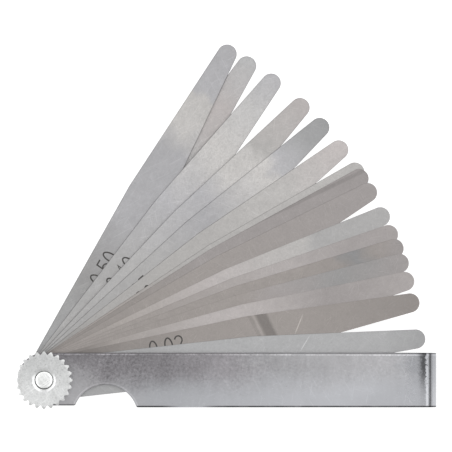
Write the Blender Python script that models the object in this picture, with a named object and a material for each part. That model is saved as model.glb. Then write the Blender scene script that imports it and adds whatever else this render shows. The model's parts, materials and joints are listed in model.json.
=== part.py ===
"""Seventeen-leaf metric feeler gauge: a folded sheet-steel case, a fan of leaves, and a clamp screw with a knurled nut.

Metres, +Z up. The pivot axis is +Z through the origin, and z = 0 is the outer face of the screw head, on which the
gauge lies. The case points along +X. Each leaf turns about the pivot and is shown fanned out towards +Y.
"""

import math

import bmesh
import bpy

MM = 0.001

# Clamp screw, from the head upwards
HEAD_RADIUS = 4.5 * MM
HEAD_HEIGHT = 1.2 * MM
HEAD_BEVEL = 0.3 * MM
NECK_SIDE = 4.0 * MM
NECK_HEIGHT = 0.7 * MM
SHANK_RADIUS = 2.0 * MM
SHANK_CHAMFER = 0.5 * MM
SCREW_STICKS_OUT = 0.6 * MM

# Case: one strip folded in a half-round at its far end
SHEET = 0.8 * MM
CASE_HALF_WIDTH = 6.7 * MM
LUG_LOWER_EDGE = -6.25 * MM
CASE_LENGTH = 96.5 * MM
NOTCH_RADIUS = 8.0 * MM
NOTCH_X = 15.1 * MM
NOTCH_Y = -9.1 * MM
NOTCH_CORNER_RADIUS = 0.6 * MM
SQUARE_HOLE_CLEARANCE = 0.08 * MM
ROUND_HOLE_CLEARANCE = 0.15 * MM

# Leaves
LEAF_HALF_WIDTH = 5.1 * MM
LEAF_TAPER_START = 52.0 * MM
LEAF_TIP_RADIUS = 2.36 * MM
LEAF_REACH = 94.15 * MM
LEAF_HOLE_CLEARANCE = 0.09 * MM
LEAF_GAP = 0.06 * MM
CHEEK_GAP = 0.2 * MM

# Knurled nut
NUT_HEIGHT = 3.6 * MM
NUT_TEETH = 24
NUT_TIP_RADIUS = 7.0 * MM
NUT_ROOT_RADIUS = 6.3 * MM
NUT_TOOTH_TIP_SHARE = 0.22
NUT_FACE_RADIUS = 6.25 * MM
NUT_RIM_CHAMFER = 0.45 * MM
NUT_BORE_CLEARANCE = 0.1 * MM
NUT_COUNTERSINK_RADIUS = 2.85 * MM
NUT_COUNTERSINK_DEPTH = 0.5 * MM

SEAT_GAP = 0.05 * MM
CUT_MARGIN = 2.0 * MM

CIRCLE_STEPS = 48
BEND_STEPS = 20
NOTCH_STEPS = 20
CORNER_STEPS = 4
LEAF_END_STEPS = 20
LEAF_TIP_STEPS = 12
LEAF_HOLE_STEPS = 24

# Leaf thickness in millimetres and its angle from the case in degrees, from the nut's side to the back
LEAVES = (
    (0.10, 6.3),
    (0.02, 11.9),
    (0.03, 15.3),
    (0.04, 18.2),
    (0.05, 20.6),
    (0.06, 22.9),
    (0.07, 25.9),
    (0.08, 30.1),
    (0.09, 32.6),
    (0.15, 33.8),
    (0.20, 38.0),
    (0.25, 42.5),
    (0.30, 46.8),
    (0.35, 46.8),
    (0.40, 52.6),
    (0.50, 60.7),
    (0.45, 57.2),
)

# Heights that follow from the stack of leaves
STACK_HEIGHT = sum(thickness for thickness, _ in LEAVES) * MM + (len(LEAVES) - 1) * LEAF_GAP
BACK_CHEEK_BOTTOM = HEAD_HEIGHT + SEAT_GAP
BACK_CHEEK_TOP = BACK_CHEEK_BOTTOM + SHEET
FRONT_CHEEK_BOTTOM = BACK_CHEEK_TOP + STACK_HEIGHT + 2 * CHEEK_GAP
FRONT_CHEEK_TOP = FRONT_CHEEK_BOTTOM + SHEET
NUT_BOTTOM = FRONT_CHEEK_TOP + SEAT_GAP
NUT_TOP = NUT_BOTTOM + NUT_HEIGHT
SCREW_TOP = NUT_TOP + SCREW_STICKS_OUT
BEND_RADIUS = (FRONT_CHEEK_TOP - BACK_CHEEK_BOTTOM) / 2
BEND_X = CASE_LENGTH - BEND_RADIUS
BEND_Z = (FRONT_CHEEK_TOP + BACK_CHEEK_BOTTOM) / 2


def clear_scene():
    for obj in list(bpy.data.objects):
        bpy.data.objects.remove(obj, do_unlink=True)


def steel(name, color, roughness):
    """A bare or plated steel."""
    material = bpy.data.materials.new(name)
    material.use_nodes = True
    shader = material.node_tree.nodes["Principled BSDF"]
    shader.inputs["Base Color"].default_value = (*color, 1.0)
    shader.inputs["Metallic"].default_value = 1.0
    shader.inputs["Roughness"].default_value = roughness
    return material


def add_object(name, bm, material=None):
    """An object made from a bmesh, which it frees."""
    bmesh.ops.recalc_face_normals(bm, faces=bm.faces)
    mesh = bpy.data.meshes.new(name)
    bm.to_mesh(mesh)
    bm.free()
    if material:
        mesh.materials.append(material)
    obj = bpy.data.objects.new(name, mesh)
    bpy.context.collection.objects.link(obj)
    return obj


def shade_round(obj, limit_degrees=30):
    obj.data.shade_smooth()
    obj.data.set_sharp_from_angle(angle=math.radians(limit_degrees))


def boolean(obj, other, operation):
    """Joins, cuts or trims obj with a helper object, which is left out of the model."""
    other.hide_render = True
    other.display_type = "WIRE"
    modifier = obj.modifiers.new(other.name, "BOOLEAN")
    modifier.operation = operation
    modifier.object = other
    modifier.solver = "EXACT"


def arc(center, radius, start, end, steps):
    """Points of an arc, both ends included; the angles are in radians."""
    angles = [start + (end - start) * i / steps for i in range(steps + 1)]
    return [(center[0] + radius * math.cos(a), center[1] + radius * math.sin(a)) for a in angles]


def circle(radius, steps):
    return arc((0, 0), radius, 0, math.tau, steps)[:-1]


def prism(outline, bottom, top):
    """A bmesh of a plan outline that is raised from bottom to top."""
    bm = bmesh.new()
    face = bm.faces.new([bm.verts.new((x, y, bottom)) for x, y in outline])
    raised = bmesh.ops.extrude_face_region(bm, geom=[face])["geom"]
    moved = [item for item in raised if isinstance(item, bmesh.types.BMVert)]
    bmesh.ops.translate(bm, verts=moved, vec=(0, 0, top - bottom))
    return bm


def turned(profile, steps):
    """A bmesh of an open profile of (radius, height) points, turned about Z and closed with flat ends."""
    bm = bmesh.new()
    rings = [[bm.verts.new((x, y, height)) for x, y in circle(radius, steps)] for radius, height in profile]
    for low, high in zip(rings, rings[1:]):
        for i in range(steps):
            after = (i + 1) % steps
            bm.faces.new((low[i], low[after], high[after], high[i]))
    bm.faces.new(reversed(rings[0]))
    bm.faces.new(rings[-1])
    return bm


def cylinder_cutter(name, radius, bottom, top):
    return add_object(name, turned([(radius, bottom), (radius, top)], CIRCLE_STEPS))


def square_prism(side, bottom, top):
    half = side / 2
    return prism([(-half, -half), (half, -half), (half, half), (-half, half)], bottom, top)


def strip_outline():
    """Side view of the folded strip, as (x, z): the outer path out and back, then the inner path."""
    inner_radius = BEND_RADIUS - SHEET
    start_x = -CASE_HALF_WIDTH - CUT_MARGIN
    center = (BEND_X, BEND_Z)
    outer = arc(center, BEND_RADIUS, -math.pi / 2, math.pi / 2, BEND_STEPS)
    inner = arc(center, inner_radius, math.pi / 2, -math.pi / 2, BEND_STEPS)
    outer = [(start_x, BACK_CHEEK_BOTTOM), *outer, (start_x, FRONT_CHEEK_TOP)]
    inner = [(start_x, FRONT_CHEEK_BOTTOM), *inner, (start_x, BACK_CHEEK_TOP)]
    return outer + inner


def notch_outline():
    """The thumb notch as an open path from the case's lower edge to the lug's, with eased corners."""
    reach = NOTCH_RADIUS + NOTCH_CORNER_RADIUS
    corners = []
    for edge_y in (-CASE_HALF_WIDTH, LUG_LOWER_EDGE):
        rise = edge_y + NOTCH_CORNER_RADIUS - NOTCH_Y
        corners.append((math.sqrt(reach**2 - rise**2), rise, math.asin(rise / reach)))
    (right_dx, right_rise, right_meet), (left_dx, left_rise, left_meet) = corners
    right_center = (NOTCH_X + right_dx, NOTCH_Y + right_rise)
    left_center = (NOTCH_X - left_dx, NOTCH_Y + left_rise)
    right = arc(right_center, NOTCH_CORNER_RADIUS, -math.pi / 2, right_meet - math.pi, CORNER_STEPS)
    hollow = arc((NOTCH_X, NOTCH_Y), NOTCH_RADIUS, right_meet, math.pi - left_meet, NOTCH_STEPS)
    left = arc(left_center, NOTCH_CORNER_RADIUS, -left_meet, -math.pi / 2, CORNER_STEPS)
    return right + hollow[1:-1] + left


def case_plan():
    """Plan of the case: round about the pivot, square at the fold, notched on its lower edge."""
    far_x = CASE_LENGTH + CUT_MARGIN
    rear_center = (0, (CASE_HALF_WIDTH + LUG_LOWER_EDGE) / 2)
    rear_radius = (CASE_HALF_WIDTH - LUG_LOWER_EDGE) / 2
    rear = arc(rear_center, rear_radius, math.pi * 1.5, math.pi / 2, LEAF_END_STEPS)
    return [(far_x, CASE_HALF_WIDTH), (far_x, -CASE_HALF_WIDTH), *notch_outline(), *rear]


def make_case():
    material = steel("case_plate", (0.42, 0.42, 0.44), 0.34)
    bm = bmesh.new()
    bm.faces.new([bm.verts.new((x, -CASE_HALF_WIDTH - CUT_MARGIN, z)) for x, z in strip_outline()])
    raised = bmesh.ops.extrude_face_region(bm, geom=list(bm.faces))["geom"]
    moved = [item for item in raised if isinstance(item, bmesh.types.BMVert)]
    bmesh.ops.translate(bm, verts=moved, vec=(0, 2 * (CASE_HALF_WIDTH + CUT_MARGIN), 0))
    case = add_object("case", bm, material)
    plan = prism(case_plan(), BACK_CHEEK_BOTTOM - CUT_MARGIN, FRONT_CHEEK_TOP + CUT_MARGIN)
    boolean(case, add_object("case_plan_trim", plan), "INTERSECT")
    round_radius = SHANK_RADIUS + ROUND_HOLE_CLEARANCE
    front_hole = cylinder_cutter("front_hole_cutter", round_radius, BEND_Z, FRONT_CHEEK_TOP + CUT_MARGIN)
    boolean(case, front_hole, "DIFFERENCE")
    square_side = NECK_SIDE + 2 * SQUARE_HOLE_CLEARANCE
    back_hole = square_prism(square_side, BACK_CHEEK_BOTTOM - CUT_MARGIN, BEND_Z)
    boolean(case, add_object("back_hole_cutter", back_hole), "DIFFERENCE")
    shade_round(case)
    return case


def make_screw():
    material = steel("screw_plate", (0.6, 0.6, 0.6), 0.3)
    profile = [
        (HEAD_RADIUS - HEAD_BEVEL, 0),
        (HEAD_RADIUS, HEAD_BEVEL),
        (HEAD_RADIUS, HEAD_HEIGHT),
        (SHANK_RADIUS, HEAD_HEIGHT),
        (SHANK_RADIUS, SCREW_TOP - SHANK_CHAMFER),
        (SHANK_RADIUS - SHANK_CHAMFER, SCREW_TOP),
    ]
    screw = add_object("pivot_screw", turned(profile, CIRCLE_STEPS), material)
    neck = square_prism(NECK_SIDE, HEAD_HEIGHT / 2, BACK_CHEEK_BOTTOM + NECK_HEIGHT)
    boolean(screw, add_object("square_neck", neck), "UNION")
    shade_round(screw)
    return screw


def tooth_outline():
    """Plan of the knurl: sharp V grooves between narrow flat-topped teeth."""
    pitch = math.tau / NUT_TEETH
    half_tip = NUT_TOOTH_TIP_SHARE * pitch / 2
    points = []
    for i in range(NUT_TEETH):
        middle = i * pitch
        for radius, angle in (
            (NUT_TIP_RADIUS, middle - half_tip),
            (NUT_TIP_RADIUS, middle + half_tip),
            (NUT_ROOT_RADIUS, middle + pitch / 2),
        ):
            points.append((radius * math.cos(angle), radius * math.sin(angle)))
    return points


def make_nut():
    material = steel("nut_plate", (0.62, 0.62, 0.61), 0.36)
    nut = add_object("knurled_nut", prism(tooth_outline(), NUT_BOTTOM, NUT_TOP), material)
    rim = [
        (NUT_FACE_RADIUS, NUT_BOTTOM - CUT_MARGIN),
        (NUT_FACE_RADIUS, NUT_BOTTOM),
        (NUT_TIP_RADIUS + CUT_MARGIN, NUT_BOTTOM + NUT_RIM_CHAMFER * 2),
        (NUT_TIP_RADIUS + CUT_MARGIN, NUT_TOP - NUT_RIM_CHAMFER * 2),
        (NUT_FACE_RADIUS, NUT_TOP),
        (NUT_FACE_RADIUS, NUT_TOP + CUT_MARGIN),
    ]
    boolean(nut, add_object("nut_rim_trim", turned(rim, CIRCLE_STEPS)), "INTERSECT")
    bore_radius = SHANK_RADIUS + NUT_BORE_CLEARANCE
    flare = NUT_COUNTERSINK_RADIUS - bore_radius
    bore = [
        (NUT_COUNTERSINK_RADIUS + flare, NUT_BOTTOM - NUT_COUNTERSINK_DEPTH),
        (bore_radius, NUT_BOTTOM + NUT_COUNTERSINK_DEPTH),
        (bore_radius, NUT_TOP - NUT_COUNTERSINK_DEPTH),
        (NUT_COUNTERSINK_RADIUS + flare, NUT_TOP + NUT_COUNTERSINK_DEPTH),
    ]
    boolean(nut, add_object("nut_bore_cutter", turned(bore, CIRCLE_STEPS)), "DIFFERENCE")
    return nut


def taper_angle():
    """Angle between a leaf's tapered edge and its centre line, where the edge is tangent to the round tip."""
    run = LEAF_REACH - LEAF_TIP_RADIUS - LEAF_TAPER_START
    span = math.hypot(LEAF_HALF_WIDTH, run)
    return math.acos(LEAF_TIP_RADIUS / span) - math.atan2(run, LEAF_HALF_WIDTH)


def leaf_outline():
    """Plan of a leaf along +X: round about the pivot, parallel, then tapering to a round tip."""
    half_tip = math.pi / 2 - taper_angle()
    tip_center = (LEAF_REACH - LEAF_TIP_RADIUS, 0)
    tip = arc(tip_center, LEAF_TIP_RADIUS, -half_tip, half_tip, LEAF_TIP_STEPS)
    rear = arc((0, 0), LEAF_HALF_WIDTH, math.pi / 2, math.pi * 1.5, LEAF_END_STEPS)
    return [*tip, (LEAF_TAPER_START, LEAF_HALF_WIDTH), *rear, (LEAF_TAPER_START, -LEAF_HALF_WIDTH)]


def leaf_mesh(thickness):
    """A flat leaf with its pivot hole, from z = 0 up to its thickness."""
    bm = bmesh.new()
    edges = []
    for loop in (leaf_outline(), circle(SHANK_RADIUS + LEAF_HOLE_CLEARANCE, LEAF_HOLE_STEPS)):
        verts = [bm.verts.new((x, y, 0)) for x, y in loop]
        edges += [bm.edges.new(pair) for pair in zip(verts, verts[1:] + verts[:1])]
    bmesh.ops.triangle_fill(bm, use_beauty=True, edges=edges)
    raised = bmesh.ops.extrude_face_region(bm, geom=list(bm.faces))["geom"]
    moved = [item for item in raised if isinstance(item, bmesh.types.BMVert)]
    bmesh.ops.translate(bm, verts=moved, vec=(0, 0, thickness))
    return bm


def make_leaves():
    """Every leaf turns about the pivot axis, which is its own origin."""
    top = FRONT_CHEEK_BOTTOM - CHEEK_GAP
    for thickness_mm, angle in LEAVES:
        name = f"blade_{thickness_mm:.2f}".replace(".", "_")
        material = steel(f"{name}_steel", (0.5, 0.49, 0.48), 0.32)
        leaf = add_object(name, leaf_mesh(thickness_mm * MM), material)
        leaf.location.z = top - thickness_mm * MM
        leaf.rotation_euler.z = math.radians(angle)
        top -= thickness_mm * MM + LEAF_GAP


def main():
    clear_scene()
    make_case()
    make_screw()
    make_nut()
    make_leaves()


main()
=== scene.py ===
"""Looks of a seventeen-leaf feeler gauge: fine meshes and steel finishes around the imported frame.

Metres, in the frame's own axes: +Z along the pivot, +X along the case, leaves fanned out towards +Y.
"""

import json
import math

import bmesh
import bpy
from mathutils import Matrix, Vector


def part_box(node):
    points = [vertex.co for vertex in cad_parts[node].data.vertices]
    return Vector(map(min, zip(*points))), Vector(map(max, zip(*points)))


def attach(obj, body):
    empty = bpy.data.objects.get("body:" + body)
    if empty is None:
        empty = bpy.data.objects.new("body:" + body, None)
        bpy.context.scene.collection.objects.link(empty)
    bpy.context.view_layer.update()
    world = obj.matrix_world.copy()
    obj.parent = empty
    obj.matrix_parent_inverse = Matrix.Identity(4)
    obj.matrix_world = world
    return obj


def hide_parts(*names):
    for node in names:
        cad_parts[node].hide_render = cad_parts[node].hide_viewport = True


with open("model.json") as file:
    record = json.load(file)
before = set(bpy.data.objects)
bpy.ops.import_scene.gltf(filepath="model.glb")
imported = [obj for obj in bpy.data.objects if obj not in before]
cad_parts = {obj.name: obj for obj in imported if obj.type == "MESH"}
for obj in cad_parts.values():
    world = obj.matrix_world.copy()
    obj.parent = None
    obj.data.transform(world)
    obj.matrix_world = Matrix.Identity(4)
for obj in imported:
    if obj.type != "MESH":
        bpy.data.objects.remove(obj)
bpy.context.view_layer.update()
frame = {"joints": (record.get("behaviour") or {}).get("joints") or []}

MM = 0.001

# Sizes that the frame gives
HEAD_LOW, SCREW_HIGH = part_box("pivot_screw")
CASE_LOW, CASE_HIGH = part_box("case")
NUT_LOW, NUT_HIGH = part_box("knurled_nut")
HALF_WIDTH = CASE_HIGH.y
BEND_RADIUS = (CASE_HIGH.z - CASE_LOW.z) / 2
BEND_X = CASE_HIGH.x - BEND_RADIUS
BEND_Z = (CASE_HIGH.z + CASE_LOW.z) / 2
HEAD_RADIUS = SCREW_HIGH.x
NUT_TIP_RADIUS = NUT_HIGH.x + 0.08 * MM

# Case
SHEET = 0.8 * MM
CASE_EDGE_ROUND = 0.34 * MM
CASE_INNER_EDGE_SHARE = 0.25
LUG_LOWER_EDGE = -6.25 * MM
NOTCH_RADIUS = 8.0 * MM
NOTCH_X = 15.1 * MM
NOTCH_Y = -9.1 * MM
NOTCH_CORNER_RADIUS = 0.6 * MM
CASE_HOLE_RADIUS = 2.15 * MM
CUT_MARGIN = 2.0 * MM

# Screw
SHANK_RADIUS = 2.0 * MM
THREAD_PITCH = 0.7 * MM
THREAD_DEPTH = 0.38 * MM
SCREW_FLAT_RADIUS = 1.5 * MM
SCREW_END_RADIUS = 2.07 * MM
SCREW_DOME_DROP = 0.09 * MM
SCREW_LIP_DEPTH = 0.22 * MM
SCREW_LIP_OFFSET = Vector((0.04 * MM, 0.05 * MM))
HEAD_HEIGHT = 1.2 * MM
HEAD_ROUND = 0.32 * MM

# Nut
NUT_TEETH = 24
NUT_ROOT_RADIUS = 6.25 * MM
NUT_FACE_RADIUS = 6.1 * MM
NUT_RIM_DROP = 0.2 * MM
NUT_BORE_RADIUS = 2.1 * MM
NUT_COUNTERSINK_RADIUS = 2.9 * MM
NUT_COUNTERSINK_DEPTH = 0.13 * MM
NUT_MOUTH_RADIUS = 2.26 * MM
NUT_MOUTH_DEPTH = 0.7 * MM

# Leaves
LEAF_HALF_WIDTH = 5.1 * MM
LEAF_TAPER_START = 52.0 * MM
LEAF_TIP_RADIUS = 2.36 * MM
LEAF_REACH = 94.3 * MM
LEAF_HOLE_RADIUS = 2.09 * MM
LEAF_EDGE_BAND = 0.15 * MM
# Leaf thickness from which the painted shadow along the outline is at its darkest
FULL_EDGE_THICKNESS = 0.25 * MM

# Numerals, with their size in a digit's own box
DIGIT_HEIGHT = 4.0 * MM
DIGIT_WIDTH = 1.9
DIGIT_TALL = 4.0
STROKE = 0.36
MARK_STEPS = (0.0, 2.75, 3.8, 6.4)
MARK_RELIEF = 0.006 * MM


def arc(center, radius, start, end, steps):
    """Points of an arc, both ends included; the angles are in radians."""
    angles = [start + (end - start) * i / steps for i in range(steps + 1)]
    return [(center[0] + radius * math.cos(a), center[1] + radius * math.sin(a)) for a in angles]


def add_object(name, bm, material):
    bmesh.ops.recalc_face_normals(bm, faces=bm.faces)
    mesh = bpy.data.meshes.new(name)
    bm.to_mesh(mesh)
    bm.free()
    if material:
        mesh.materials.append(material)
    obj = bpy.data.objects.new(name, mesh)
    bpy.context.scene.collection.objects.link(obj)
    return obj


def shade_round(obj, limit_degrees=28):
    obj.data.shade_smooth()
    obj.data.set_sharp_from_angle(angle=math.radians(limit_degrees))


def ring_faces(bm, low, high):
    """A closed band of quads between two rings with the same number of points."""
    count = len(low)
    for i in range(count):
        after = (i + 1) % count
        bm.faces.new((low[i], low[after], high[after], high[i]))


def ring(bm, outline, z):
    return [bm.verts.new((x, y, z)) for x, y in outline]


def prism(outline, bottom, top):
    bm = bmesh.new()
    low = ring(bm, outline, bottom)
    high = ring(bm, outline, top)
    ring_faces(bm, low, high)
    bm.faces.new(reversed(low))
    bm.faces.new(high)
    return bm


# ---------------------------------------------------------------- materials

CREAM = (1.0, 0.972, 0.95)
NEUTRAL = (1.0, 0.985, 0.98)
LILAC = (1.0, 0.99, 1.02)
GREY = (1.0, 1.0, 1.01)
PINK = (1.0, 0.935, 0.92)
BROWN = (1.0, 0.925, 0.88)
PLATE_VIOLET = (1.0, 0.962, 1.01)
PLATE_NEUTRAL = (1.0, 0.99, 1.02)
PLATE_BLUE = (0.985, 1.0, 1.05)
DISPLAY_GAMMA = 2.2

# Tones of the case plate at its upper and its lower edge, along its length: partly the plate's own tone,
# partly painted light and shade
UPPER_PLATE = (
    (0, 0.49, PLATE_VIOLET),
    (31, 0.49, PLATE_VIOLET),
    (46, 0.58, PLATE_VIOLET),
    (56, 0.61, PLATE_NEUTRAL),
    (65, 0.64, PLATE_NEUTRAL),
    (84, 0.68, PLATE_NEUTRAL),
    (91, 0.62, PLATE_BLUE),
    (96, 0.63, PLATE_BLUE),
)
LOWER_PLATE = (
    (0, 0.66, PLATE_NEUTRAL),
    (14, 0.64, PLATE_NEUTRAL),
    (28, 0.65, PLATE_BLUE),
    (65, 0.72, PLATE_BLUE),
    (75, 0.73, PLATE_BLUE),
    (84, 0.70, PLATE_BLUE),
    (96, 0.70, PLATE_BLUE),
)

# Where the painted shade line along the lower edge fades out, in mm
FADED_FOOT_X = 36.0

# Painted shade inside the nut's bore: how dark the gap around the screw is made
BORE_SHADE = 0.35

# Painted dark reflection band at the start of the fold: where it begins, is full, and ends, in mm
FOLD_SHADE_SPAN = (91.6, 93.4, 93.75, 93.95)


def zones(stops, length=CASE_HIGH.x):
    """Ramp stops from (distance in mm, display grey, tint) along a piece of this length."""
    ramp = []
    for distance, grey, tint in stops:
        level = grey**DISPLAY_GAMMA
        ramp.append((distance * MM / length, tuple(level * channel for channel in tint)))
    return ramp


class Tree:
    """Short calls for building a node tree."""

    def __init__(self, tree):
        self.tree = tree

    def link(self, value, socket):
        if isinstance(value, bpy.types.NodeSocket):
            self.tree.links.new(value, socket)
        else:
            socket.default_value = value

    def vector(self, operation, a, b):
        node = self.tree.nodes.new("ShaderNodeVectorMath")
        node.operation = operation
        self.link(a, node.inputs[0])
        self.link(b, node.inputs[1])
        return node.outputs["Vector"]

    def math(self, operation, a, b=0.0, clamp=False):
        node = self.tree.nodes.new("ShaderNodeMath")
        node.operation = operation
        node.use_clamp = clamp
        self.link(a, node.inputs[0])
        self.link(b, node.inputs[1])
        return node.outputs[0]

    def noise(self, vector, scale, detail=2.0, roughness=0.5, distortion=0.0):
        node = self.tree.nodes.new("ShaderNodeTexNoise")
        node.inputs["Scale"].default_value = scale
        node.inputs["Detail"].default_value = detail
        node.inputs["Roughness"].default_value = roughness
        node.inputs["Distortion"].default_value = distortion
        self.tree.links.new(vector, node.inputs["Vector"])
        return node.outputs["Fac"]

    def between(self, value, low, high, to_low=0.0, to_high=1.0, smooth=False):
        node = self.tree.nodes.new("ShaderNodeMapRange")
        node.interpolation_type = "SMOOTHSTEP" if smooth else "LINEAR"
        self.link(value, node.inputs["Value"])
        for name, number in (("From Min", low), ("From Max", high), ("To Min", to_low), ("To Max", to_high)):
            node.inputs[name].default_value = number
        return node.outputs["Result"]

    def ramp(self, value, stops):
        """A colour ramp through (position, colour) stops."""
        node = self.tree.nodes.new("ShaderNodeValToRGB")
        elements = node.color_ramp.elements
        while len(elements) < len(stops):
            elements.new(0.5)
        for element, (position, color) in zip(elements, stops):
            element.position = position
            element.color = (*color, 1.0)
        self.link(value, node.inputs["Fac"])
        return node.outputs["Color"]

    def scaled_color(self, color, factor):
        """The colour made lighter or darker by a factor."""
        node = self.tree.nodes.new("ShaderNodeVectorMath")
        node.operation = "SCALE"
        self.link(color, node.inputs[0])
        self.link(factor, node.inputs["Scale"])
        return node.outputs["Vector"]

    def blended(self, factor, a, b):
        node = self.tree.nodes.new("ShaderNodeMix")
        node.data_type = "RGBA"
        self.link(factor, node.inputs["Factor"])
        self.link(a if isinstance(a, bpy.types.NodeSocket) else (*a, 1.0), node.inputs["A"])
        self.link(b if isinstance(b, bpy.types.NodeSocket) else (*b, 1.0), node.inputs["B"])
        return node.outputs["Result"]

    def luminance(self, color):
        node = self.tree.nodes.new("ShaderNodeRGBToBW")
        self.tree.links.new(color, node.inputs[0])
        return node.outputs[0]


class WorldNodes(Tree):
    """The node tree of a world."""

    def __init__(self, world):
        super().__init__(world.node_tree)

    def direction(self):
        coordinates = self.tree.nodes.new("ShaderNodeTexCoord")
        split = self.tree.nodes.new("ShaderNodeSeparateXYZ")
        self.tree.links.new(coordinates.outputs["Generated"], split.inputs[0])
        return split.outputs["X"], split.outputs["Y"], split.outputs["Z"]


class Nodes(Tree):
    """The node tree of one material, in the piece's own millimetres."""

    def __init__(self, name):
        self.material = bpy.data.materials.new(name)
        self.material.use_nodes = True
        super().__init__(self.material.node_tree)
        self.shader = self.tree.nodes["Principled BSDF"]
        coordinates = self.tree.nodes.new("ShaderNodeTexCoord")
        self.millimetres = self.vector("MULTIPLY", coordinates.outputs["Object"], (1000, 1000, 1000))

    def mapped(self, scale, turn_degrees=0.0, shift=(0, 0, 0)):
        """The piece's millimetres, moved by shift, turned about Z and then scaled."""
        node = self.tree.nodes.new("ShaderNodeMapping")
        node.vector_type = "TEXTURE"
        node.inputs["Location"].default_value = shift
        node.inputs["Rotation"].default_value = (0, 0, math.radians(turn_degrees))
        node.inputs["Scale"].default_value = tuple(1 / factor for factor in scale)
        self.tree.links.new(self.millimetres, node.inputs["Vector"])
        return node.outputs["Vector"]

    def axis(self, name):
        node = self.tree.nodes.new("ShaderNodeSeparateXYZ")
        self.tree.links.new(self.millimetres, node.inputs[0])
        return node.outputs[name]

    def attribute(self, name):
        node = self.tree.nodes.new("ShaderNodeAttribute")
        node.attribute_name = name
        return node.outputs["Fac"]

    def band(self, value, middle, half_width):
        """1 in the middle of a band, fading to 0 at its sides."""
        distance = self.math("ABSOLUTE", self.math("SUBTRACT", value, middle))
        return self.between(distance, half_width, half_width / 3)

    def scratches(self, turn_degrees, amount, seed):
        """Sparse fine straight scratches in one direction: 0 where there are none, 1 in a scratch."""
        vector = self.mapped((0.2, 5.5, 1.0), turn_degrees, (seed * 7.3, seed * 3.1, 0))
        lines = self.noise(vector, 1.0, 0.0)
        return self.between(lines, 1.0 - amount, 1.04 - amount)

    def bump(self, height, distance):
        node = self.tree.nodes.new("ShaderNodeBump")
        node.inputs["Strength"].default_value = 1.0
        node.inputs["Distance"].default_value = distance
        self.link(height, node.inputs["Height"])
        self.tree.links.new(node.outputs["Normal"], self.shader.inputs["Normal"])

    def finish(self, color, roughness, metallic=1.0):
        self.link(color, self.shader.inputs["Base Color"])
        self.link(roughness, self.shader.inputs["Roughness"])
        self.shader.inputs["Metallic"].default_value = metallic
        return self.material


def leaf_steel(name, seed, stops, mottle, stains, edge_shadow):
    """Rolled spring steel: zones of tone along the leaf with painted light and shade in them, clouds, curly
    marks, hairlines, dark stains and a painted shadow line along the outline.
    """
    n = Nodes(name)
    x, y = n.axis("X"), n.axis("Y")
    drift = n.noise(n.mapped((0.09, 0.14, 1.0), 12, (seed * 5.7, seed * 2.3, 0)), 1.0, 3.0)
    reach = n.math("ADD", x, n.between(drift, 0.3, 0.7, -2.5, 2.5))
    color = n.ramp(n.between(reach, 0.0, LEAF_REACH / MM), stops)
    light = n.luminance(color)
    blotches = n.noise(n.mapped((0.3, 0.42, 1.0), -20, (seed * 3.9, seed, 0)), 1.0, 4.0, 0.65)
    shade = n.between(blotches, 0.3, 0.7, 1 - mottle, 1 + mottle)
    grain = n.noise(n.mapped((0.8, 2.2, 1.0), 0, (seed, seed * 1.7, 0)), 1.0, 3.0, 0.65)
    shade = n.math("MULTIPLY", shade, n.between(grain, 0.3, 0.7, 0.99, 1.01))
    curls = n.noise(n.mapped((1.6, 1.8, 1.0), 25, (seed * 2.9, seed * 8.1, 0)), 1.0, 3.0, 0.65, 1.2)
    curl_depth = n.between(light, 0.36, 0.56, 0.045, 0.13)
    shade = n.math("ADD", shade, n.math("MULTIPLY", n.between(curls, 0.32, 0.68, -1.0, 1.0), curl_depth))
    pits = n.between(n.noise(n.mapped((1.1, 1.1, 1.0), 0, (seed * 4.1, 3, 0)), 1.0, 3.0, 0.7), 0.33, 0.27)
    shade = n.math("SUBTRACT", shade, n.math("MULTIPLY", pits, 0.14))
    marks = n.scratches(14 + seed * 9, 0.245, seed)
    for turn in (-48, 71, 38):
        marks = n.math("MAXIMUM", marks, n.scratches(turn + seed * 7, 0.235, seed + turn))
    shade = n.math("ADD", shade, n.math("MULTIPLY", marks, 0.12))
    for middle, half_width, slant, depth, center, half_length in stains:
        slanted = n.math("SUBTRACT", n.math("MULTIPLY", y, slant), middle)
        offset = n.math("ABSOLUTE", n.math("ADD", x, slanted))
        stain = n.between(offset, half_width, half_width * 0.45, 0.0, depth, smooth=True)
        stain = n.math("MULTIPLY", stain, n.band(y, center, half_length))
        shade = n.math("MULTIPLY", shade, n.math("SUBTRACT", 1.0, stain))
    # Painted shadow line along the leaf's outline, deeper on thicker leaves
    edge = n.attribute("edge")
    shade = n.math("MULTIPLY", shade, n.between(edge, 0.0, 1.0, 1.0, edge_shadow))
    roughness = n.between(blotches, 0.25, 0.75, 0.36, 0.48)
    roughness = n.math("SUBTRACT", roughness, n.math("MULTIPLY", marks, 0.08))
    n.bump(n.math("SUBTRACT", n.math("ADD", n.math("MULTIPLY", grain, 0.5), curls), marks), 0.003 * MM)
    return n.finish(n.scaled_color(color, shade), roughness)


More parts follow.
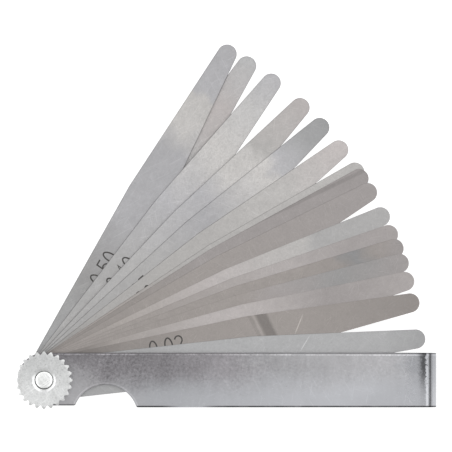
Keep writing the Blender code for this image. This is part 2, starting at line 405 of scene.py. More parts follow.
def case_steel():
    """Dull plated sheet: darker and grainy at the upper left, smooth and light at the lower right, in tones
    partly its own and partly painted light and shade; painted highlight and shade lines along the edges, a
    painted dark reflection at the fold.
    """
    n = Nodes("case_plate_steel")
    x, y = n.axis("X"), n.axis("Y")
    drift = n.noise(n.mapped((0.07, 0.16, 0.1), 0, (3, 5, 0)), 1.0, 3.0, 0.6)
    along = n.between(n.math("ADD", x, n.between(drift, 0.3, 0.7, -3.5, 3.5)), 0.0, CASE_HIGH.x / MM)
    upper = n.ramp(along, zones(UPPER_PLATE))
    lower = n.ramp(along, zones(LOWER_PLATE))
    across = n.math("ADD", y, n.between(drift, 0.3, 0.7, -1.5, 1.5))
    across = n.math("SUBTRACT", across, n.between(x, 15.0, 6.0, 0.0, 3.5))
    color = n.blended(n.between(across, 3.5, -4.5, smooth=True), upper, lower)
    shade, peel, depth = case_grain(n, x, across)
    marks = n.scratches(-58, 0.235, 2)
    for turn in (22, 81, -14):
        marks = n.math("MAXIMUM", marks, n.scratches(turn, 0.225, turn))
    shade = n.math("ADD", shade, n.math("MULTIPLY", marks, 0.09))
    glints = n.noise(n.mapped((1.9, 1.9, 1.9), 0, (7, 3, 0)), 1.0, 2.0, 0.7)
    shade = n.math("ADD", shade, n.between(glints, 0.64, 0.72, 0.0, 0.16))
    # Painted highlight and shade along the edges, and a painted dark reflection at the start of the fold
    shade = n.math("MULTIPLY", shade, case_edges(n, x, y, peel))
    shade = n.math("MULTIPLY", shade, n.math("SUBTRACT", 1.0, fold_reflection_shade(n, x, y, peel)))
    near_fold = n.between(x, BEND_X / MM - 6, BEND_X / MM, 0.0, 1.0, smooth=True)
    roughness = n.math("SUBTRACT", n.between(peel, 0.2, 0.8, 0.26, 0.36), n.math("MULTIPLY", near_fold, 0.14))
    height = n.math("SUBTRACT", n.math("MULTIPLY", peel, depth), n.math("MULTIPLY", marks, 0.2))
    n.bump(height, 0.03 * MM)
    return n.finish(n.scaled_color(color, shade), roughness)


def case_grain(n, x, across):
    """Orange peel and upright clouds in the plate, strongest at the upper left: tone, pattern and depth."""
    peel = n.noise(n.mapped((1.5, 1.5, 1.5)), 1.0, 3.0, 0.7)
    patches = n.noise(n.mapped((0.13, 0.2, 0.2), 8, (1, 9, 0)), 1.0, 2.0)
    upper_side = n.between(across, -4.0, 1.5, 0.12, 1.0)
    grainy = n.math("MULTIPLY", n.between(patches, 0.38, 0.58, 0.6, 1.0), upper_side)
    depth = n.math("MULTIPLY", grainy, n.between(x, 18.0, 60.0, 0.38, 0.1))
    shade = n.math("ADD", 1.0, n.math("MULTIPLY", n.between(peel, 0.3, 0.7, -1.0, 1.0), depth))
    clouds = n.noise(n.mapped((0.5, 0.16, 0.2), -6, (4, 2, 0)), 1.0, 3.0, 0.6)
    left_side = n.between(x, 20.0, 90.0, 0.09, 0.05)
    cloud_depth = n.math("MULTIPLY", n.between(across, -4.0, 2.0, 0.3, 1.0), left_side)
    shade = n.math("ADD", shade, n.math("MULTIPLY", n.between(clouds, 0.3, 0.7, -1.0, 1.0), cloud_depth))
    return shade, peel, depth


def case_edges(n, x, y, peel):
    """Painted highlight and shade along the sheared edges: a painted highlight line inside a painted dark
    line above, a broad painted shade line below, a painted highlight along the notch, painted shade at the
    lug and at the upper left.
    """
    past_bend = n.math("MAXIMUM", n.math("SUBTRACT", x, BEND_X / MM), 0.0)
    from_middle = n.math("SUBTRACT", n.axis("Z"), BEND_Z / MM)
    height_squared = n.math("MULTIPLY", from_middle, from_middle)
    skin = n.math("ADD", n.math("MULTIPLY", past_bend, past_bend), height_squared)
    outer = n.between(n.math("SQRT", skin), BEND_RADIUS / MM - 0.4, BEND_RADIUS / MM - 0.25, 0.35, 1.0)
    waver = n.noise(n.mapped((0.22, 0.1, 0.1), 0, (6, 1, 0)), 1.0, 3.0, 0.6)
    # Painted highlight: a wavering bright line just inside the upper edge
    line_y = n.between(x, 20.0, 85.0, 6.30, 6.14)
    edge_highlight = n.band(n.math("SUBTRACT", y, line_y), 0.0, 0.2)
    edge_highlight = n.math("MULTIPLY", edge_highlight, n.between(waver, 0.3, 0.6, 0.15, 0.6))
    edge_highlight = n.math("MULTIPLY", edge_highlight, n.between(peel, 0.35, 0.6, 0.4, 1.4))
    # Painted shade: a dark line along the upper edge, and a broad one along the lower edge that fades out
    # part way along
    rim = n.math("MULTIPLY", n.between(y, 6.42, 6.5), n.between(x, 15.0, 90.0, 0.1, 0.6))
    foot = n.math("MULTIPLY", n.between(y, -6.26, -6.36), n.between(waver, 0.7, 0.5, 0.6, 0.82))
    foot = n.math("MULTIPLY", foot, n.math("SUBTRACT", 1.0, n.band(x, FADED_FOOT_X, 7.0)))
    # Painted highlight along the notch's edge
    dx, dy = n.math("SUBTRACT", x, NOTCH_X / MM), n.math("SUBTRACT", y, NOTCH_Y / MM)
    from_notch = n.math("SQRT", n.math("ADD", n.math("MULTIPLY", dx, dx), n.math("MULTIPLY", dy, dy)))
    notch_line = n.band(from_notch, NOTCH_RADIUS / MM + 0.4, 0.22)
    edge_highlight = n.math("ADD", edge_highlight, n.math("MULTIPLY", notch_line, 0.25))
    # Painted shade at the lug's lower edge, and a darker strip along the upper edge at the left
    lug = n.math("MULTIPLY", n.between(x, 11.5, 10.5), n.between(y, -5.85, -5.98, 0.0, 0.6))
    upper_left_shade = n.math("MULTIPLY", n.between(y, 5.0, 6.0, 0.0, 0.13), n.between(x, 30.0, 60.0, 1.0, 0.0))
    shade = n.math("ADD", 1.0, edge_highlight)
    for darker in (rim, foot, lug, upper_left_shade):
        shade = n.math("MULTIPLY", shade, n.math("SUBTRACT", 1.0, n.math("MULTIPLY", darker, outer)))
    return shade


def fold_reflection_shade(n, x, y, peel):
    """How much the painted dark reflection band, ragged at its sides, darkens the start of the fold."""
    begin, full_from, full_to, end = FOLD_SHADE_SPAN
    ragged = n.math("ADD", x, n.between(peel, 0.3, 0.7, -0.6, 0.6))
    fade_in = n.between(ragged, begin, full_from, smooth=True)
    fold_shade = n.math("MULTIPLY", fade_in, n.between(ragged, end, full_to))
    fold_shade = n.math("MULTIPLY", fold_shade, n.between(y, -4.5, 3.5, 0.12, 0.74, smooth=True))
    return n.math("MULTIPLY", fold_shade, n.between(n.axis("Z"), BEND_Z / MM, CASE_HIGH.z / MM))


def turned_steel(name, color, groove_depth, seed, side_light, highlight_ring, bore_radius):
    """Turned and plated steel: tool marks, clouds and scratches, one side painted lighter, a painted
    highlight ring, painted shade inside the bore.
    """
    n = Nodes(name)
    x, y = n.axis("X"), n.axis("Y")
    radius = n.math("SQRT", n.math("ADD", n.math("MULTIPLY", x, x), n.math("MULTIPLY", y, y)))
    combined = n.tree.nodes.new("ShaderNodeCombineXYZ")
    n.link(radius, combined.inputs["X"])
    n.link(n.math("MULTIPLY", n.axis("Z"), 2.0), combined.inputs["Z"])
    grooves = n.noise(combined.outputs[0], 5.0, 3.0, 0.7)
    clouds = n.noise(n.mapped((0.3, 0.3, 0.3), 0, (seed, seed, 0)), 1.0, 3.0)
    pits = n.noise(n.mapped((2.2, 2.2, 2.2), 0, (seed * 2, 0, 0)), 1.0, 2.0, 0.7)
    marks = n.math("MAXIMUM", n.scratches(35, 0.29, seed), n.scratches(-60, 0.29, seed + 2))
    shade = n.between(clouds, 0.3, 0.7, 0.94, 1.06)
    # Painted light: one side lighter than the other
    shade = n.math("ADD", shade, n.between(y, -5.0, 4.0, side_light, -side_light))
    # Painted highlight: a bright ring, left out at the top and at the middle of the bottom
    ring_radius, ring_width, ring_gain = highlight_ring
    ring_highlight = n.math("MULTIPLY", n.band(radius, ring_radius, ring_width), n.between(y, 1.7, 0.8))
    ring_highlight = n.math("MULTIPLY", ring_highlight, n.between(n.math("ABSOLUTE", x), 0.4, 1.2))
    shade = n.math("ADD", shade, n.math("MULTIPLY", ring_highlight, ring_gain))
    # Painted shade inside the bore
    shade = n.math("MULTIPLY", shade, n.between(radius, bore_radius - 0.03, bore_radius, BORE_SHADE, 1.0))
    shade = n.math("MULTIPLY", shade, n.between(grooves, 0.25, 0.75, 0.96, 1.04))
    shade = n.math("SUBTRACT", shade, n.math("MULTIPLY", n.between(pits, 0.36, 0.28), 0.2))
    shade = n.math("ADD", shade, n.between(pits, 0.3, 0.7, -0.1, 0.1))
    shade = n.math("ADD", shade, n.math("MULTIPLY", marks, 0.15))
    roughness = n.between(clouds, 0.2, 0.8, 0.26, 0.4)
    n.bump(n.math("SUBTRACT", grooves, n.math("MULTIPLY", marks, 0.6)), groove_depth)
    return n.finish(n.scaled_color(color, shade), roughness)


def etched_black():
    """Black etched marks, a little worn and uneven."""
    n = Nodes("etched_black")
    wear = n.noise(n.mapped((1.2, 1.2, 1.0)), 1.0, 3.0, 0.6)
    color = n.blended(n.between(wear, 0.55, 0.75), (0.04, 0.037, 0.035), (0.12, 0.112, 0.106))
    roughness = n.between(wear, 0.2, 0.8, 0.45, 0.7)
    return n.finish(color, roughness, metallic=0.0)


# ---------------------------------------------------------------- leaves


def taper_angle(half_width, tip_radius, reach):
    run = reach - tip_radius - LEAF_TAPER_START
    span = math.hypot(half_width, run)
    return math.acos(tip_radius / span) - math.atan2(run, half_width)


def leaf_outline(inset):
    """Plan of a leaf along +X, drawn in from its edge by inset."""
    half_width = LEAF_HALF_WIDTH - inset
    tip_radius = LEAF_TIP_RADIUS - inset
    reach = LEAF_REACH - inset
    half_tip = math.pi / 2 - taper_angle(half_width, tip_radius, reach)
    tip = arc((reach - tip_radius, 0), tip_radius, -half_tip, half_tip, 40)
    rear = arc((0, 0), half_width, math.pi / 2, math.pi * 1.5, 64)
    return [*tip, (LEAF_TAPER_START, half_width), *rear, (LEAF_TAPER_START, -half_width)]


def leaf_mesh(thickness):
    """A flat leaf with eased edges; the attribute "edge" fades from 1 at the outline to 0 inside it."""
    ease = min(0.04 * MM, thickness * 0.25)
    bm = bmesh.new()
    edge = bm.verts.layers.float.new("edge")
    loops = [
        ring(bm, leaf_outline(LEAF_EDGE_BAND), 0),
        ring(bm, leaf_outline(ease), 0),
        ring(bm, leaf_outline(0), ease),
        ring(bm, leaf_outline(0), thickness - ease),
        ring(bm, leaf_outline(ease), thickness),
        ring(bm, leaf_outline(LEAF_EDGE_BAND), thickness),
    ]
    for loop in loops[1:-1]:
        for vert in loop:
            vert[edge] = 1.0
    for low, high in zip(loops, loops[1:]):
        ring_faces(bm, low, high)
    hole = arc((0, 0), LEAF_HOLE_RADIUS, 0, math.tau, 64)[:-1]
    holes = [ring(bm, hole, 0), ring(bm, hole, thickness)]
    ring_faces(bm, holes[1], holes[0])
    for outer, inner in zip((loops[0], loops[-1]), holes):
        edges = [bm.edges.get(pair) for pair in zip(outer, outer[1:] + outer[:1])]
        edges += [bm.edges.get(pair) for pair in zip(inner, inner[1:] + inner[:1])]
        bmesh.ops.triangle_fill(bm, use_beauty=True, edges=edges)
    return bm


# ---------------------------------------------------------------- numerals


def bow(center_x, center_y, radius_x, radius_y, start, end, steps=20):
    """Part of an ellipse; the angles are in degrees."""
    angles = [math.radians(start + (end - start) * i / steps) for i in range(steps + 1)]
    return [(center_x + radius_x * math.cos(a), center_y + radius_y * math.sin(a)) for a in angles]


def digit_strokes(digit):
    """The strokes of a plain numeral as (points, closed), in a box of DIGIT_WIDTH by DIGIT_TALL."""
    middle = DIGIT_WIDTH / 2
    if digit == "0":
        return [(bow(middle, 2.0, 0.92, 2.0, 0, 360, 36)[:-1], True)]
    if digit == "1":
        return [([(0.35, 3.3), (middle, 4.0), (middle, 0.0)], False)]
    if digit == "2":
        return [(bow(middle, 3.0, 0.9, 1.0, 165, -25) + [(0.05, 0.0), (DIGIT_WIDTH, 0.0)], False)]
    if digit == "3":
        upper = bow(middle, 3.0, 0.85, 1.0, 155, -90)
        lower = bow(middle, 1.0, 0.92, 1.0, 90, -155)
        return [(upper + lower[1:], False)]
    if digit == "4":
        return [([(1.4, 0.0), (1.4, 4.0), (0.0, 1.2), (DIGIT_WIDTH, 1.2)], False)]
    if digit == "5":
        return [([(1.75, 4.0), (0.3, 4.0), (0.15, 2.3)] + bow(0.9, 1.3, 1.0, 1.3, 125, -150), False)]
    if digit == "6":
        stem = bow(DIGIT_WIDTH, 1.25, 1.9, 2.75, 102, 180, 12)
        return [(bow(middle, 1.25, 0.92, 1.25, 0, 360, 32)[:-1], True), (stem, False)]
    if digit == "7":
        return [([(0.0, 4.0), (1.8, 4.0), (0.7, 0.0)], False)]
    if digit == "8":
        upper = bow(middle, 3.05, 0.78, 0.95, 0, 360, 30)[:-1]
        lower = bow(middle, 1.05, 0.92, 1.05, 0, 360, 32)[:-1]
        return [(upper, True), (lower, True)]
    if digit == "9":
        return [
            ([(DIGIT_WIDTH - x, DIGIT_TALL - y) for x, y in points], closed)
            for points, closed in digit_strokes("6")
        ]
    return [([(0.0, 0.0), (0.0, STROKE)], False)]


def stroke_sides(points, closed):
    """Points on both sides of a stroke's middle line, mitred at its corners."""
    count = len(points)
    sides = []
    for i, point in enumerate(points):
        here = Vector(point)
        before = Vector(points[i - 1]) if closed or i else None
        after = Vector(points[(i + 1) % count]) if closed or i < count - 1 else None
        into = (here - before).normalized() if before else (after - here).normalized()
        out = (after - here).normalized() if after else into
        normal = Vector((-into.y - out.y, into.x + out.x))
        normal.normalize()
        cosine = max(normal.dot(Vector((-into.y, into.x))), 0.5)
        offset = normal * (STROKE / 2 / cosine)
        sides.append((here + offset, here - offset))
    return sides


def add_stroke(bm, points, closed, origin, z):
    """A closed flat ribbon along one stroke, raised by MARK_RELIEF."""
    unit = DIGIT_HEIGHT / DIGIT_TALL
    rows = []
    for left, right in stroke_sides(points, closed):
        corners = []
        for side, height in ((left, z), (right, z), (right, z + MARK_RELIEF), (left, z + MARK_RELIEF)):
            corners.append(bm.verts.new((origin[0] + side.x * unit, origin[1] + side.y * unit, height)))
        rows.append(corners)
    pairs = list(zip(rows, rows[1:] + rows[:1]))
    for a, b in pairs if closed else pairs[:-1]:
        ring_faces(bm, a, b)
    if not closed:
        bm.faces.new(reversed(rows[0]))
        bm.faces.new(rows[-1])


def mark_mesh(text, start, baseline, z):
    """A row of numerals on a leaf, from a distance along it and a height above its middle line, in mm."""
    bm = bmesh.new()
    for step, digit in zip(MARK_STEPS, text):
        origin = ((start + step) * MM, baseline * MM)
        for points, closed in digit_strokes(digit):
            add_stroke(bm, points, closed, origin, z)
    return bm


# ---------------------------------------------------------------- case


def strip_outline():
    """Side view of the folded strip, as (x, z)."""
    start_x = CASE_LOW.x - CUT_MARGIN
    center = (BEND_X, BEND_Z)
    outer = arc(center, BEND_RADIUS, -math.pi / 2, math.pi / 2, 64)
    inner = arc(center, BEND_RADIUS - SHEET, math.pi / 2, -math.pi / 2, 48)
    outer = [(start_x, CASE_LOW.z), *outer, (start_x, CASE_HIGH.z)]
    inner = [(start_x, CASE_HIGH.z - SHEET), *inner, (start_x, CASE_LOW.z + SHEET)]
    return outer + inner


def notch_outline():
    """The thumb notch as an open path from the case's lower edge to the lug's, with eased corners."""
    reach = NOTCH_RADIUS + NOTCH_CORNER_RADIUS
    corners = []
    for edge_y in (-HALF_WIDTH, LUG_LOWER_EDGE):
        rise = edge_y + NOTCH_CORNER_RADIUS - NOTCH_Y
        corners.append((math.sqrt(reach**2 - rise**2), rise, math.asin(rise / reach)))
    (right_dx, right_rise, right_meet), (left_dx, left_rise, left_meet) = corners
    right_center = (NOTCH_X + right_dx, NOTCH_Y + right_rise)
    left_center = (NOTCH_X - left_dx, NOTCH_Y + left_rise)
    right = arc(right_center, NOTCH_CORNER_RADIUS, -math.pi / 2, right_meet - math.pi, 8)
    hollow = arc((NOTCH_X, NOTCH_Y), NOTCH_RADIUS, right_meet, math.pi - left_meet, 56)
    left = arc(left_center, NOTCH_CORNER_RADIUS, -left_meet, -math.pi / 2, 8)
    return right + hollow[1:-1] + left


def case_plan():
    far_x = CASE_HIGH.x + CUT_MARGIN
    rear_center = (0, (HALF_WIDTH + LUG_LOWER_EDGE) / 2)
    rear_radius = (HALF_WIDTH - LUG_LOWER_EDGE) / 2
    rear = arc(rear_center, rear_radius, math.pi * 1.5, math.pi / 2, 64)
    return [(far_x, HALF_WIDTH), (far_x, -HALF_WIDTH), *notch_outline(), *rear]


def cut(obj, other, operation):
    """Applies a Boolean with a helper object, then removes the helper."""
    modifier = obj.modifiers.new("cut", "BOOLEAN")
    modifier.operation = operation
    modifier.object = other
    modifier.solver = "EXACT"
    apply_modifiers(obj)
    bpy.data.objects.remove(other, do_unlink=True)


def apply_modifiers(obj):
    graph = bpy.context.evaluated_depsgraph_get()
    mesh = bpy.data.meshes.new_from_object(obj.evaluated_get(graph))
    obj.modifiers.clear()
    obj.data = mesh


def on_outer_skin(point):
    """Whether a point lies on the outer face of the folded strip."""
    if point.x > BEND_X:
        return math.hypot(point.x - BEND_X, point.z - BEND_Z) > BEND_RADIUS - SHEET / 2
    return abs(point.z - BEND_Z) > BEND_RADIUS - SHEET / 2


def ease_case_edges(case):
    """A bevel modifier: the punched-down outer edges are rounder than the inner ones."""
    mesh = case.data
    weights = mesh.attributes.new("bevel_weight_edge", "FLOAT", "EDGE")
    bm = bmesh.new()
    bm.from_mesh(mesh)
    for edge in bm.edges:
        if len(edge.link_faces) == 2 and edge.calc_face_angle() > math.radians(40):
            outer = all(on_outer_skin(vert.co) for vert in edge.verts)
            weights.data[edge.index].value = 1.0 if outer else CASE_INNER_EDGE_SHARE
    bm.free()
    bevel = case.modifiers.new("eased_edges", "BEVEL")
    bevel.width = CASE_EDGE_ROUND
    bevel.segments = 5
    bevel.limit_method = "WEIGHT"


def make_case(material):
    bm = bmesh.new()
    near = [bm.verts.new((x, -HALF_WIDTH - CUT_MARGIN, z)) for x, z in strip_outline()]
    far = [bm.verts.new((x, HALF_WIDTH + CUT_MARGIN, z)) for x, z in strip_outline()]
    ring_faces(bm, near, far)
    bm.faces.new(near)
    bm.faces.new(reversed(far))
    case = add_object("folded_case", bm, material)
    plan = prism(case_plan(), CASE_LOW.z - CUT_MARGIN, CASE_HIGH.z + CUT_MARGIN)
    cut(case, add_object("plan_trim", plan, None), "INTERSECT")
    hole = prism(arc((0, 0), CASE_HOLE_RADIUS, 0, math.tau, 64)[:-1], BEND_Z, CASE_HIGH.z + CUT_MARGIN)
    cut(case, add_object("front_hole", hole, None), "DIFFERENCE")
    half = CASE_HOLE_RADIUS
    square = [(-half, -half), (half, -half), (half, half), (-half, half)]
    hole = prism(square, CASE_LOW.z - CUT_MARGIN, BEND_Z)
    cut(case, add_object("back_hole", hole, None), "DIFFERENCE")
    ease_case_edges(case)
    apply_modifiers(case)
    shade_round(case, 32)
    return case


# ---------------------------------------------------------------- screw and nut


def wave(phase):
    """A triangle wave between 0 and 1."""
    return 1 - abs(2 * (phase - math.floor(phase)) - 1)


def thread_radius(angle, height):
    """Outer radius of the right-hand thread at an angle and a height."""
    phase = (height - NUT_LOW.z) / THREAD_PITCH - angle / math.tau
    crest = min(max(wave(phase) * 1.25 - 0.06, 0.0), 1.0)
    return SHANK_RADIUS - THREAD_DEPTH * (1 - crest)


def end_radius(depth):
    """Radius of the screw's domed end at a depth below its flat."""
    rise = min(depth / SCREW_DOME_DROP, 1.0)
    return SCREW_FLAT_RADIUS + (SCREW_END_RADIUS - SCREW_FLAT_RADIUS) * math.sqrt(rise)


def make_screw(material):
    """Flat round head, plain shank among the leaves, then a cut thread with a chamfered end."""
    top = SCREW_HIGH.z
    thread_start = CASE_HIGH.z - SHEET
    profile = []
    for i in range(9):
        turn = math.pi / 2 * i / 8
        radius = HEAD_RADIUS - HEAD_ROUND * (1 - math.sin(turn))
        profile.append((HEAD_ROUND * (1 - math.cos(turn)), radius))
    for i in range(9):
        turn = math.pi / 2 * i / 8
        radius = HEAD_RADIUS - HEAD_ROUND / 2 * (1 - math.cos(turn))
        profile.append((HEAD_HEIGHT - HEAD_ROUND / 2 * (1 - math.sin(turn)), radius))
    profile.append((HEAD_HEIGHT, SHANK_RADIUS))
    profile.append((thread_start, SHANK_RADIUS))
    threaded = top - thread_start - SCREW_DOME_DROP
    rows = int(threaded / (THREAD_PITCH / 14))
    profile += [(thread_start + threaded * i / rows, None) for i in range(1, rows + 1)]
    profile += [(top - SCREW_DOME_DROP * (1 - i / 6) ** 2, None) for i in range(1, 7)]
    bm = bmesh.new()
    rings = []
    columns = 96
    for height, fixed in profile:
        points = []
        for i in range(columns):
            angle = math.tau * i / columns
            radius = fixed
            offset = Vector((0.0, 0.0))
            if radius is None and top - height < SCREW_LIP_DEPTH:
                radius = end_radius(top - height)
                offset = SCREW_LIP_OFFSET
            elif radius is None:
                radius = thread_radius(angle, height)
            points.append((offset.x + radius * math.cos(angle), offset.y + radius * math.sin(angle)))
        rings.append(ring(bm, points, height))
    for low, high in zip(rings, rings[1:]):
        ring_faces(bm, low, high)
    bm.faces.new(reversed(rings[0]))
    bm.faces.new(rings[-1])
    half = CASE_HOLE_RADIUS - 0.08 * MM
    screw = add_object("clamp_screw", bm, material)
    square = [(-half, -half), (half, -half), (half, half), (-half, half)]
    neck = prism(square, HEAD_HEIGHT / 2, CASE_LOW.z + SHEET - 0.1 * MM)
    cut(screw, add_object("square_neck", neck, None), "UNION")
    shade_round(screw, 40)
    return screw


def tooth_radius(angle):
    """Plan radius of the straight knurl: V grooves with narrow, slightly rounded teeth."""
    peak = wave(angle * NUT_TEETH / math.tau + 0.5)
    rise = min(max((peak - 0.1) / 0.74, 0.0), 1.0)
    eased = rise - 0.03 * math.sin(math.tau * rise)
    return NUT_ROOT_RADIUS + (NUT_TIP_RADIUS - NUT_ROOT_RADIUS) * eased


def rim_radius(height):
    """Radius of the nut's turned rim before knurling, rounded over at both faces."""
    inside = min(height - NUT_LOW.z, NUT_HIGH.z - height)
    return NUT_FACE_RADIUS + (NUT_TIP_RADIUS - NUT_FACE_RADIUS) * math.sqrt(min(inside / NUT_RIM_DROP, 1.0))


def make_nut(material):
    columns = NUT_TEETH * 12
    chamfer = [NUT_RIM_DROP * (i / 8) ** 2 for i in range(9)]
    heights = [NUT_LOW.z + step for step in chamfer] + [NUT_HIGH.z - step for step in reversed(chamfer)]
    bm = bmesh.new()
    rings = []
    for height in heights:
        limit = rim_radius(height)
        points = []
        for i in range(columns):
            angle = math.tau * i / columns
            radius = min(tooth_radius(angle), limit)
            points.append((radius * math.cos(angle), radius * math.sin(angle)))
        rings.append(ring(bm, points, height))
    flare = NUT_COUNTERSINK_DEPTH
    lip = 0.08 * MM
    inner = (
        (NUT_COUNTERSINK_RADIUS + lip, NUT_HIGH.z),
        (NUT_COUNTERSINK_RADIUS, NUT_HIGH.z - lip / 4),
        (NUT_MOUTH_RADIUS, NUT_HIGH.z - flare),
        (NUT_BORE_RADIUS, NUT_HIGH.z - NUT_MOUTH_DEPTH),
        (NUT_BORE_RADIUS, NUT_LOW.z + NUT_MOUTH_DEPTH),
        (NUT_MOUTH_RADIUS, NUT_LOW.z + flare),
        (NUT_COUNTERSINK_RADIUS, NUT_LOW.z),
    )
    for radius, height in inner:
        rings.append(ring(bm, arc((0, 0), radius, 0, math.tau, columns)[:-1], height))
    for low, high in zip(rings, rings[1:] + rings[:1]):
        ring_faces(bm, low, high)
    nut = add_object("thumb_nut", bm, material)
    shade_round(nut, 24)
    return nut


# ---------------------------------------------------------------- the gauge


# For each node: mottle, where its numeral starts and its baseline in mm, its zones of tone (the steel's own
# tone with painted light and shade in it), and its stains and long scratches as (distance, half width, slant,
# depth, middle across the leaf, half length)
LEAF_LOOKS = (
    ("blade_0_10", 0.04, (26.6, -1.4),
     ((25, 0.63, GREY), (40, 0.66, GREY), (84, 0.66, GREY), (94, 0.62, GREY)),
     ((63.3, 0.2, -0.76, -0.35, 1.8, 2.0),)),
    ("blade_0_02", 0.025, (27.0, -0.15),
     ((12, 0.50, BROWN), (22, 0.55, BROWN), (40, 0.59, BROWN), (62, 0.60, BROWN), (94, 0.56, BROWN)),
     ((53.9, 0.6, 0.25, 0.1, 0, 30), (54.8, 0.4, 0.25, -0.08, 0, 30), (56.7, 1.9, 0.25, 0.33, 0, 30),
      (63.8, 0.2, -0.67, -0.5, 0.4, 2.6))),
    ("blade_0_03", 0.04, (26.6, -1.4),
     ((12, 0.53, BROWN), (20, 0.61, BROWN), (46, 0.69, PINK), (57, 0.68, PINK), (73, 0.60, PINK),
      (94, 0.65, PINK)), ()),
    ("blade_0_04", 0.03, (26.6, -1.4),
     ((12, 0.58, BROWN), (52, 0.60, BROWN), (62, 0.62, PINK), (78, 0.58, NEUTRAL), (94, 0.61, PINK)), ()),
    ("blade_0_05", 0.05, (26.6, -1.4),
     ((12, 0.59, BROWN), (68, 0.60, BROWN), (77, 0.58, BROWN), (83, 0.54, GREY), (88, 0.59, BROWN),
      (94, 0.60, PINK)), ()),
    ("blade_0_06", 0.035, (26.6, -1.4),
     ((12, 0.60, BROWN), (30, 0.60, BROWN), (65, 0.67, PINK), (80, 0.62, PINK), (94, 0.63, PINK)), ()),
    ("blade_0_07", 0.03, (26.6, -1.4),
     ((12, 0.59, BROWN), (24, 0.64, BROWN), (48, 0.70, PINK), (72, 0.70, CREAM), (76, 0.65, NEUTRAL),
      (94, 0.66, NEUTRAL)), ()),
    ("blade_0_08", 0.03, (26.6, -1.65), ((12, 0.57, BROWN), (40, 0.60, BROWN), (94, 0.61, PINK)), ()),
    ("blade_0_09", 0.045, (26.6, -1.4),
     ((12, 0.56, BROWN), (30, 0.57, BROWN), (48, 0.60, PINK), (94, 0.60, PINK)),
     ((102.4, 5.5, 8.2, 0.15, 2.4, 4.0),)),
    ("blade_0_15", 0.04, (26.6, -1.4),
     ((24, 0.62, BROWN), (44, 0.66, CREAM), (62, 0.68, CREAM), (94, 0.70, CREAM)), ()),
    ("blade_0_20", 0.04, (26.6, -1.2),
     ((12, 0.59, CREAM), (22, 0.65, CREAM), (50, 0.67, CREAM), (74, 0.71, CREAM), (94, 0.73, PINK)), ()),
    ("blade_0_25", 0.045, (27.2, -1.5),
     ((12, 0.63, NEUTRAL), (40, 0.66, NEUTRAL), (56, 0.65, LILAC), (76, 0.76, CREAM), (78, 0.69, LILAC),
      (87, 0.62, GREY), (94, 0.60, GREY)), ()),
    ("blade_0_30", 0.045, (26.6, -2.0),
     ((12, 0.64, NEUTRAL), (36, 0.68, NEUTRAL), (60, 0.68, LILAC), (68, 0.75, CREAM), (77, 0.73, CREAM),
      (79, 0.68, CREAM), (94, 0.69, PINK)), ()),
    ("blade_0_35", 0.045, (26.6, -2.0), ((12, 0.63, NEUTRAL), (50, 0.68, NEUTRAL), (94, 0.70, NEUTRAL)), ()),
    ("blade_0_40", 0.05, (28.2, -1.25),
     ((12, 0.65, NEUTRAL), (32, 0.65, NEUTRAL), (54, 0.69, LILAC), (70, 0.75, CREAM), (84, 0.73, NEUTRAL),
      (94, 0.68, LILAC)), ()),
    ("blade_0_50", 0.05, (26.95, -1.5),
     ((12, 0.62, GREY), (28, 0.59, NEUTRAL), (44, 0.66, LILAC), (64, 0.65, LILAC), (71, 0.73, CREAM),
      (79, 0.72, CREAM), (81, 0.67, LILAC), (94, 0.66, LILAC)), ()),
    ("blade_0_45", 0.04, (26.6, -2.0),
     ((12, 0.63, NEUTRAL), (60, 0.68, NEUTRAL), (78, 0.70, PINK), (94, 0.69, GREY)), ()),
)


def make_leaves():
    ink = etched_black()
    rest_angles = {joint["child"]: -joint["range_deg"][0] for joint in frame["joints"]}
    for seed, (node, mottle, (start, baseline), stops, stains) in enumerate(LEAF_LOOKS):
        low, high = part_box(node)
        thickness = high.z - low.z
        label = node.removeprefix("blade_")
        place = Matrix.Translation((0, 0, low.z)) @ Matrix.Rotation(math.radians(rest_angles[node]), 4, "Z")
        tones = zones(stops, LEAF_REACH)
        # How dark the painted shadow along the outline gets, more for thicker leaves
        edge_shadow = 1.0 - 0.52 * min(thickness / FULL_EDGE_THICKNESS, 1.0)
        material = leaf_steel(f"leaf_steel_{label}", seed, tones, mottle, stains, edge_shadow)
        leaf = add_object(f"leaf_{label}", leaf_mesh(thickness), material)
        shade_round(leaf, 30)
        leaf.matrix_world = place
        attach(leaf, node)
        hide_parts(node)
        numeral = mark_mesh(label.replace("_", "."), start, baseline, thickness)
        mark = add_object(f"mark_{label}", numeral, ink)
        mark.matrix_world = place
        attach(mark, node)


def make_body():
    case = make_case(case_steel())
    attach(case, "case")
    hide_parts("case")
    screw_highlight_ring = (1.85, 0.4, 0.3)
    screw_steel = turned_steel("screw_plate_steel", (0.78, 0.79, 0.78), 0.004 * MM, 3, 0.0, screw_highlight_ring, 0.0)
    screw = make_screw(screw_steel)
    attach(screw, "case")
    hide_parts("pivot_screw")
    mouth = NUT_MOUTH_RADIUS / MM
    nut_highlight_ring = (2.6, 0.42, 0.45)
    nut_steel = turned_steel("nut_plate_steel", (0.6, 0.606, 0.604), 0.008 * MM, 5, 0.09, nut_highlight_ring, mouth)
    nut = make_nut(nut_steel)
    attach(nut, "knurled_nut")
    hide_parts("knurled_nut")


# ---------------------------------------------------------------- stage, light and camera

VIEW_CENTER = Vector((44.74 * MM, 37.89 * MM, 4.4 * MM))
VIEW_WIDTH = 111.2 * MM
VIEW_DISTANCE = 5000 * MM
FLOOR_SIZE = 3.0
FLOOR_DROP = 0.02 * MM
FLOOR_GLOW = 0.9
SOFTBOX_PLACE = Vector((-0.45, 0.1, 0.45))
SOFTBOX_SIZE = 0.3
SOFTBOX_WATTS = 0.3


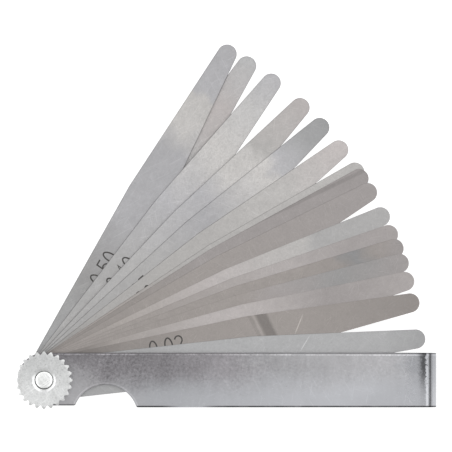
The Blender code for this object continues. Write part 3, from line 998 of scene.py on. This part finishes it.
def make_floor():
    """A pale light table."""
    n = Nodes("pale_floor")
    mottling = n.noise(n.mapped((0.02, 0.02, 0.02)), 1.0, 2.0)
    color = n.blended(mottling, (0.28, 0.28, 0.28), (0.32, 0.32, 0.32))
    material = n.finish(color, 0.9, metallic=0.0)
    n.shader.inputs["Specular IOR Level"].default_value = 0.1
    n.shader.inputs["Emission Color"].default_value = (1.0, 1.0, 1.0, 1.0)
    n.shader.inputs["Emission Strength"].default_value = FLOOR_GLOW
    half = FLOOR_SIZE / 2
    outline = [(-half, -half), (half, -half), (half, half), (-half, half)]
    floor = add_object("floor", prism(outline, -2 * MM, 0.0), material)
    floor.location.z = -FLOOR_DROP


# Brightness of the light tent's wall by compass direction, in degrees from +X towards +Y, at middle heights
TENT_WALL = (
    (-180, 1.9),
    (-135, 0.95),
    (-90, 0.45),
    (-45, 0.8),
    (-20, 1.0),
    (20, 1.1),
    (50, 2.2),
    (80, 1.2),
    (130, 1.1),
    (180, 1.9),
)
DOOR_HEIGHTS = (0.28, 0.34, 0.64, 0.70)
DOOR_BRIGHTNESS = 0.3
LINTEL_HEIGHTS = (0.76, 0.80, 0.93, 0.96)
LINTEL_BRIGHTNESS = 1.65
DOOR_HALF_ANGLES = (0.6, 0.45)


def make_world():
    """A white light tent, brighter at the left and back right, with a dim door and lit lintel at the fold."""
    world = bpy.data.worlds.new("light_tent")
    world.use_nodes = True
    bpy.context.scene.world = world
    n = WorldNodes(world)
    x, y, z = n.direction()
    compass = n.between(n.math("ARCTAN2", y, x), -math.pi, math.pi)
    wall = n.ramp(compass, [((angle + 180) / 360, (level,) * 3) for angle, level in TENT_WALL])
    sides = n.math("MULTIPLY", n.between(z, 0.97, 0.85, smooth=True), n.between(z, 0.12, 0.28, smooth=True))
    tent = n.blended(sides, (1.0, 1.0, 1.0), wall)
    towards_fold = n.between(n.math("ABSOLUTE", n.math("ARCTAN2", y, x)), *DOOR_HALF_ANGLES)
    for heights, brightness in ((DOOR_HEIGHTS, DOOR_BRIGHTNESS), (LINTEL_HEIGHTS, LINTEL_BRIGHTNESS)):
        low, low_full, high_full, high = heights
        strip = n.math("MULTIPLY", n.between(z, low, low_full), n.between(z, high, high_full))
        tent = n.blended(n.math("MULTIPLY", strip, towards_fold), tent, (brightness,) * 3)
    n.tree.links.new(tent, world.node_tree.nodes["Background"].inputs["Color"])


def add_softbox():
    """A weak square softbox at the left, above the tent's rim."""
    light = bpy.data.lights.new("softbox", "AREA")
    light.size = SOFTBOX_SIZE
    light.energy = SOFTBOX_WATTS
    lamp = bpy.data.objects.new("softbox", light)
    lamp.location = SOFTBOX_PLACE
    lamp.rotation_euler = (VIEW_CENTER - lamp.location).to_track_quat("-Z", "Y").to_euler()
    bpy.context.scene.collection.objects.link(lamp)


def make_camera():
    camera = bpy.data.cameras.new("camera")
    camera.sensor_width = 36.0
    camera.lens = camera.sensor_width * VIEW_DISTANCE / VIEW_WIDTH
    camera.clip_start = 0.01
    eye = bpy.data.objects.new("camera", camera)
    eye.location = VIEW_CENTER + Vector((0, 0, VIEW_DISTANCE))
    bpy.context.scene.collection.objects.link(eye)
    bpy.context.scene.camera = eye


make_body()
make_leaves()
make_floor()
make_world()
add_softbox()
make_camera()
bpy.context.scene.view_settings.view_transform = "Standard"
